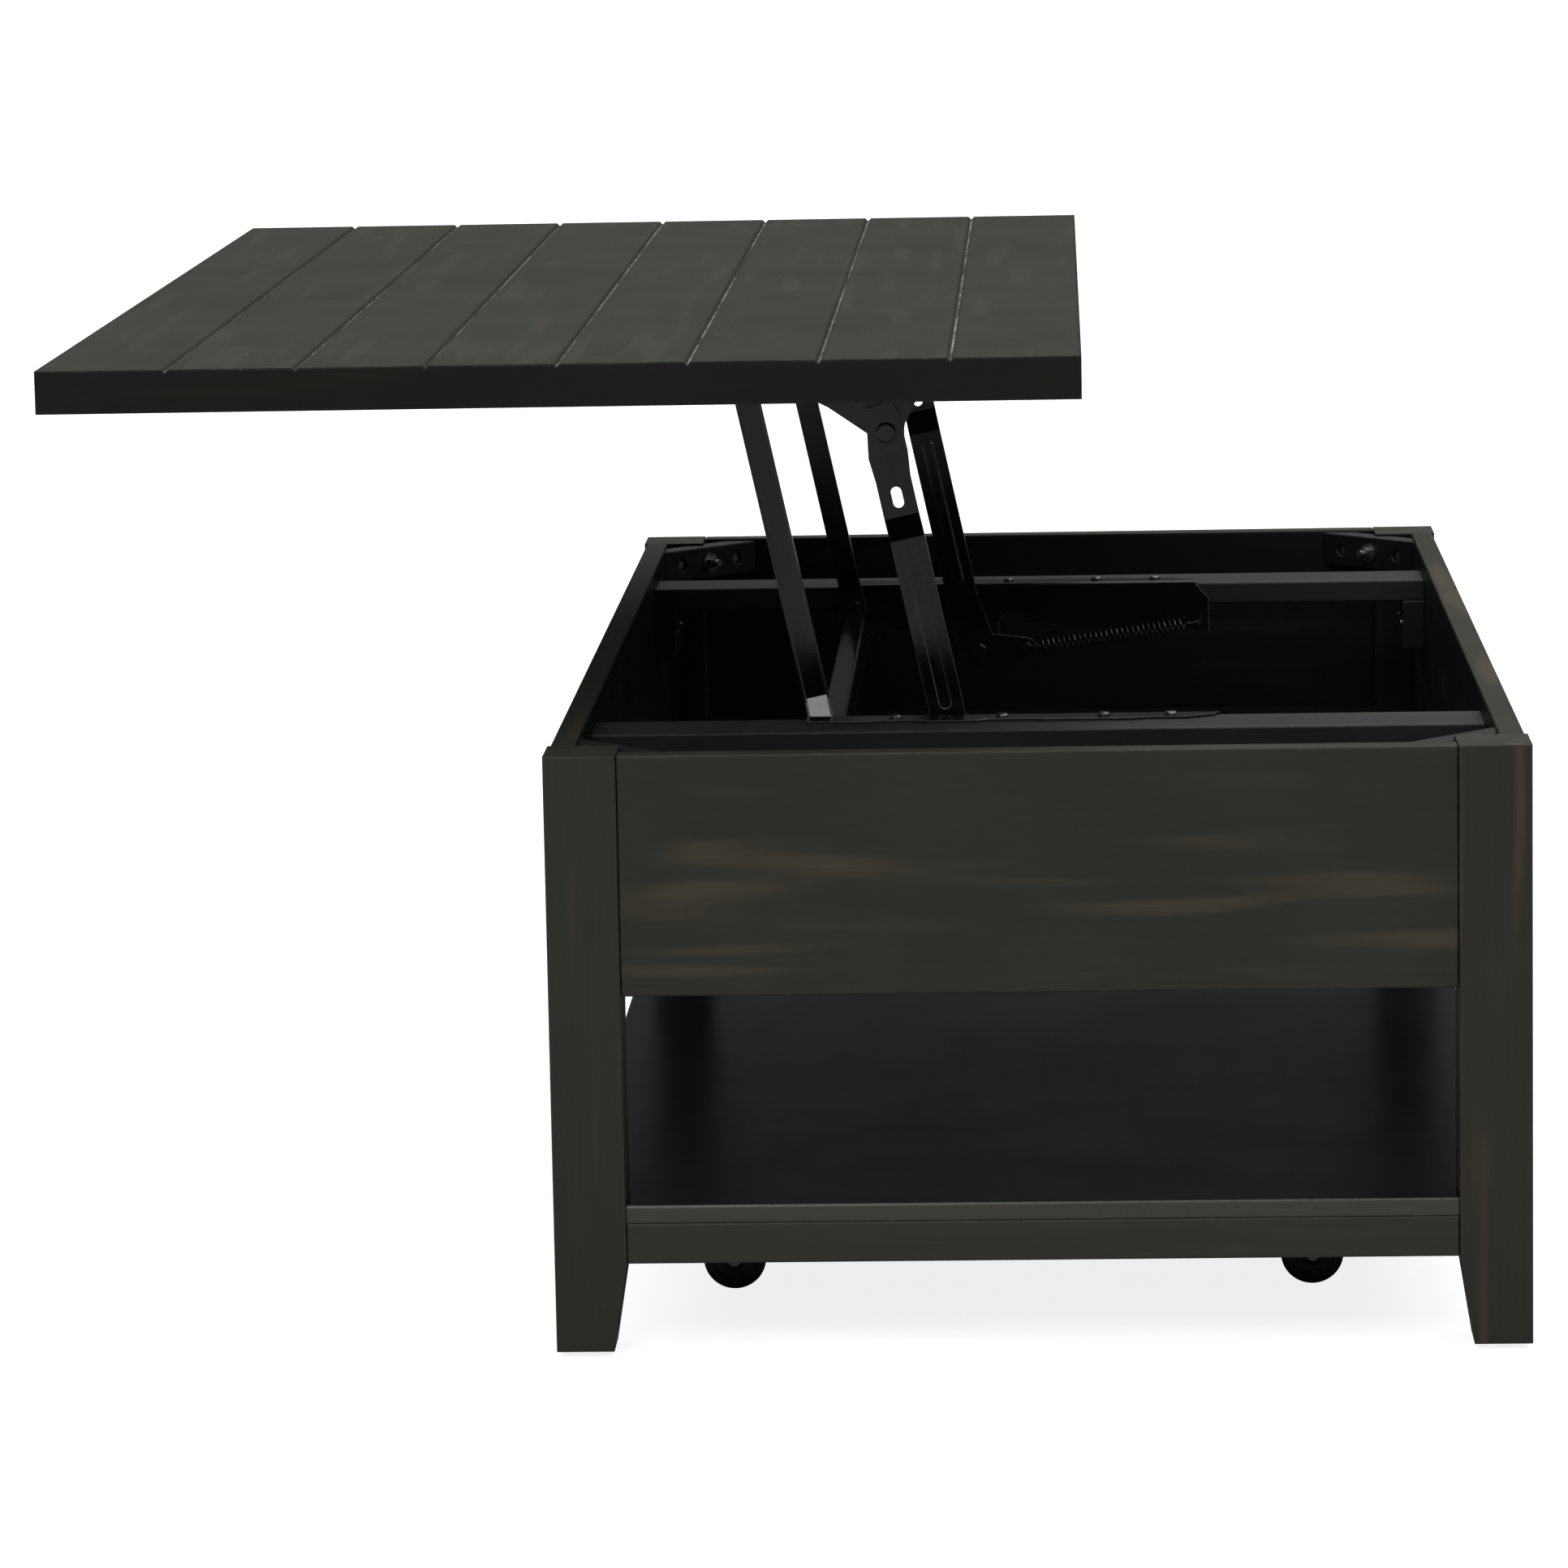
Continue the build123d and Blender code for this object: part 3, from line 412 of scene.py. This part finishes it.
# Lift battens: two square rails across the box that carry the lift mechanism.
# Satin black on all faces, their upper faces catch the light.
batten_paint = painted_wood(
    "lift_batten_paint", "x", (0.0165, 0.0170, 0.0150, 1), rub=0.1, edge=(0.07, 0.07, 0.068, 1), gloss=0.3,
)
finish(batten_paint, "lift_batten_front", "lift_batten_rear")


# Base brackets: pressed steel angles screwed on the battens, with pan head screws.
# Stoved gloss black, with a light colour laid along the edges as a painted highlight in place of reflections.
lift_paint = (0.0030, 0.0031, 0.0029, 1)
# Painted highlight: a pale grey laid along the edges of the lift steel.
lift_edge_highlight = (0.32, 0.32, 0.31, 1)
lift_steel = painted_steel("lift_steel", lift_paint, edge=lift_edge_highlight, edge_width=0.0008, gloss=0.4)
finish(lift_steel, "base_bracket_front", "base_bracket_rear")
finish(dark_screw, "bracket_screws", "top_screws")


# Lift arms: a broad main arm and a narrow link arm on each side, pressed from strip.
# They turn on shouldered rivets and are stoved black with the brackets; a flat tube ties the links.
finish(lift_steel, "main_arm_front", "main_arm_rear", "link_arm_front", "link_arm_rear", "cross_tube")
rivet_steel = painted_steel("rivet_steel", (0.006, 0.006, 0.006, 1), gloss=0.45)
finish(rivet_steel, "base_pivot_rivets", "top_pivot_rivets")


# Springs: close-wound extension springs of 2 mm wire, one each side.
# Oil-blackened wire. On the table the coil stretches between its hooks as the arms turn; here it is one fixed
# helix fitted to the coil part it replaces.
def oiled_wire():
    material, tree, shader, place = new_material("spring_steel")
    cloud = noise(tree, place, 140.0, 3.0, 0.6)
    bright = soft_step(tree, cloud, 0.42, 0.72)
    colour = mixed(tree, bright, (0.024, 0.023, 0.022, 1), (0.085, 0.083, 0.078, 1))
    tree.links.new(colour, shader.inputs["Base Color"])
    level = add(tree, "ShaderNodeMapRange", {"Value": cloud, "To Min": 0.29, "To Max": 0.46})
    tree.links.new(level.outputs[0], shader.inputs["Roughness"])
    shader.inputs["Metallic"].default_value = 0.9
    bump = add(tree, "ShaderNodeBump", {"Height": cloud, "Strength": 0.15, "Distance": 0.0001})
    tree.links.new(bump.outputs[0], shader.inputs["Normal"])
    return material


spring_steel = oiled_wire()
finish(spring_steel, "spring_anchor_hooks", "spring_lever_hooks")


def own_piece(name, built, material):
    mesh = bpy.data.meshes.new(name)
    built.to_mesh(mesh)
    built.free()
    mesh.materials.append(material)
    piece = bpy.data.objects.new(name, mesh)
    bpy.context.scene.collection.objects.link(piece)
    return piece


wire_radius = 0.001
coil_radius = 0.0052
coil_turns = 27
steps_a_turn = 20
for side in ("front", "rear"):
    node = f"spring_coil_{side}"
    low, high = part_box(node)
    middle = (low + high) / 2
    slide = next(joint for joint in frame["joints"] if joint["name"] == "spring_stretch")
    away = -Vector(slide["axis"])
    reach = coil_radius + wire_radius
    coil_length = ((high.x - low.x) - 2 * reach * abs(away.z)) / away.x
    coil = bmesh.new()
    across = Matrix.Translation((0, 0, coil_radius)) @ Matrix.Rotation(math.radians(90), 4, "X")
    bmesh.ops.create_circle(coil, cap_ends=False, radius=wire_radius, segments=10, matrix=across)
    steps = coil_turns * steps_a_turn
    bmesh.ops.spin(
        coil, geom=coil.edges[:], cent=(0, 0, 0), axis=(1, 0, 0), dvec=(coil_length / steps, 0, 0),
        angle=2 * math.pi * coil_turns, steps=steps, use_duplicate=False,
    )
    bmesh.ops.holes_fill(coil, edges=[edge for edge in coil.edges if edge.is_boundary], sides=0)
    bmesh.ops.translate(coil, verts=coil.verts, vec=(-coil_length / 2, 0, 0))
    tilt = Vector((1, 0, 0)).rotation_difference(away).to_matrix().to_4x4()
    bmesh.ops.transform(coil, verts=coil.verts, matrix=Matrix.Translation(middle) @ tilt)
    bmesh.ops.recalc_face_normals(coil, faces=coil.faces)
    for face in coil.faces:
        face.smooth = True
    spring = own_piece(f"coil_{side}", coil, spring_steel)
    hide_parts(node)
    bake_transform(spring)


# Top brackets: angles screwed under the top that the arms carry.
# The same stoved black steel.
finish(lift_steel, "top_bracket_front", "top_bracket_rear")


# Top: a board that V grooves part into eight planks, edged all round with a thin band.
# Charcoal with a green cast, pin-sized light specks, and paint rubbed through along each groove.
plank_count = 8
band_thickness = 0.001
top_low, top_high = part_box("top_board")
plank_pitch = (top_high.x - top_low.x + 2 * band_thickness) / plank_count


def groove_wear(tree, place):
    parts = add(tree, "ShaderNodeSeparateXYZ", {0: place})
    along = maths(tree, "SUBTRACT", parts.outputs["X"], top_low.x - band_thickness - plank_pitch / 2)
    along = maths(tree, "DIVIDE", along, plank_pitch)
    offset = maths(tree, "MULTIPLY", maths(tree, "SUBTRACT", maths(tree, "FRACT", along), 0.5), plank_pitch)
    distance = maths(tree, "ABSOLUTE", maths(tree, "SUBTRACT", offset, 0.0005))
    near = soft_step(tree, distance, 0.0012, 0.0006)
    past_left = maths(tree, "GREATER_THAN", along, 0.8)
    before_right = maths(tree, "LESS_THAN", along, plank_count + 0.2)
    between = maths(tree, "MULTIPLY", past_left, before_right)
    upper = soft_step(tree, parts.outputs["Z"], top_high.z - 0.006, top_high.z - 0.005)
    near = maths(tree, "MULTIPLY", near, upper)
    dashes = noise(tree, scaled(tree, place, (260.0, 34.0, 260.0)), 1.0, 5.0, 0.68)
    dashes = soft_step(tree, dashes, 0.34, 0.60)
    stretch = soft_step(tree, noise(tree, scaled(tree, place, (9.0, 5.0, 9.0)), 1.0, 2.0, 0.5), 0.30, 0.60)
    worn = maths(tree, "MULTIPLY", near, maths(tree, "MULTIPLY", dashes, stretch))
    return maths(tree, "MULTIPLY", worn, between, clamp=True)


def top_material():
    material = painted_wood(
        "top_board_paint", "y", (0.0180, 0.0212, 0.0145, 1), undercoat=(0.040, 0.037, 0.024, 1),
        rub=0.4, specks=0.75, edge=(0.034, 0.036, 0.030, 1), gloss=0.15,
    )
    tree = material.node_tree
    shader = next(made for made in tree.nodes if made.type == "BSDF_PRINCIPLED")
    place = next(made for made in tree.nodes if made.type == "TEX_COORD").outputs["Object"]
    before = shader.inputs["Base Color"].links[0].from_socket
    colour = mixed(tree, groove_wear(tree, place), before, (0.30, 0.31, 0.29, 1))
    tree.links.new(colour, shader.inputs["Base Color"])
    return material


finish(top_material(), "top_board")
band_paint = painted_wood(
    "top_edge_paint", "x", (0.0085, 0.0086, 0.0070, 1), rub=0.05, edge=(0.06, 0.06, 0.055, 1), gloss=0.15,
)
finish(band_paint, "top_edge_bands")


# Studio: a pale floor without an edge in sight, a broad soft sky and three soft boxes.
# None of it belongs to the table.
def floor_material():
    material, tree, shader, place = new_material("studio_floor")
    cloud = noise(tree, place, 0.8, 2.0, 0.5)
    colour = mixed(tree, cloud, (0.42, 0.42, 0.42, 1), (0.44, 0.44, 0.44, 1))
    tree.links.new(colour, shader.inputs["Base Color"])
    lit = maths(tree, "MULTIPLY", add(tree, "ShaderNodeLightPath").outputs["Is Camera Ray"], 0.85)
    tree.links.new(lit, shader.inputs["Emission Strength"])
    shader.inputs["Emission Color"].default_value = (1, 1, 1, 1)
    shader.inputs["Roughness"].default_value = 0.9
    shader.inputs["Specular IOR Level"].default_value = 0.0
    return material


ground = bmesh.new()
bmesh.ops.create_circle(ground, cap_ends=True, radius=60.0, segments=96)
own_piece("floor", ground, floor_material())

world = bpy.data.worlds.new("studio_sky")
bpy.context.scene.world = world
world.use_nodes = True
sky = world.node_tree
sky.nodes.clear()
outwards = add(sky, "ShaderNodeTexCoord").outputs["Generated"]
height = add(sky, "ShaderNodeSeparateXYZ", {0: outwards}).outputs["Z"]
horizon_to_zenith = {"Value": height, "From Min": 0.28, "From Max": 0.85, "To Min": 0.06, "To Max": 1.85}
level = add(sky, "ShaderNodeMapRange", horizon_to_zenith, interpolation_type="SMOOTHSTEP").outputs[0]
soft = add(sky, "ShaderNodeBackground", {"Strength": level, "Color": (0.985, 1.0, 0.955, 1)})
white = add(sky, "ShaderNodeBackground", {"Strength": 1.0, "Color": (1, 1, 1, 1)})
seen = add(sky, "ShaderNodeLightPath").outputs["Is Camera Ray"]
blend_sky = add(sky, "ShaderNodeMixShader", {0: seen, 1: soft.outputs[0], 2: white.outputs[0]})
sky.links.new(blend_sky.outputs[0], sky.nodes.new("ShaderNodeOutputWorld").inputs[0])


table_heart = Vector((0.0, 0.0, 0.45))


def soft_box(name, place, size, power):
    lamp = bpy.data.lights.new(name, "AREA")
    lamp.shape = "RECTANGLE"
    lamp.size, lamp.size_y = size
    lamp.energy = power
    held = bpy.data.objects.new(name, lamp)
    bpy.context.scene.collection.objects.link(held)
    held.location = place
    held.rotation_euler = (table_heart - Vector(place)).to_track_quat("-Z", "Y").to_euler()


soft_box("front_light", (-0.85, -4.2, 3.1), (1.8, 1.0), 36.0)
soft_box("left_light", (-3.4, -0.6, 2.4), (1.4, 1.0), 14.0)
soft_box("right_light", (3.4, -0.4, 2.4), (1.4, 1.0), 16.0)
bpy.context.scene.view_settings.view_transform = "Standard"


# Camera: a long lens in front of one end of the table, a little above it and turned slightly left.
# It stands about five metres away, so the sides of the box draw together only a little.
lens = bpy.data.cameras.new("camera")
lens.lens = 151.29
lens.sensor_width = 36.0
lens.clip_start, lens.clip_end = 0.05, 200.0
camera = bpy.data.objects.new("camera", lens)
bpy.context.scene.collection.objects.link(camera)
yaw, pitch, roll = math.radians(2.453), math.radians(9.237), math.radians(1.115)
aimed = Matrix.Rotation(yaw, 4, "Z") @ Matrix.Rotation(math.pi / 2 - pitch, 4, "X")
turn = aimed @ Matrix.Rotation(-roll, 4, "Z")
camera.matrix_world = Matrix.Translation((0.1899, -5.1421, 1.1455)) @ turn
bpy.context.scene.camera = camera
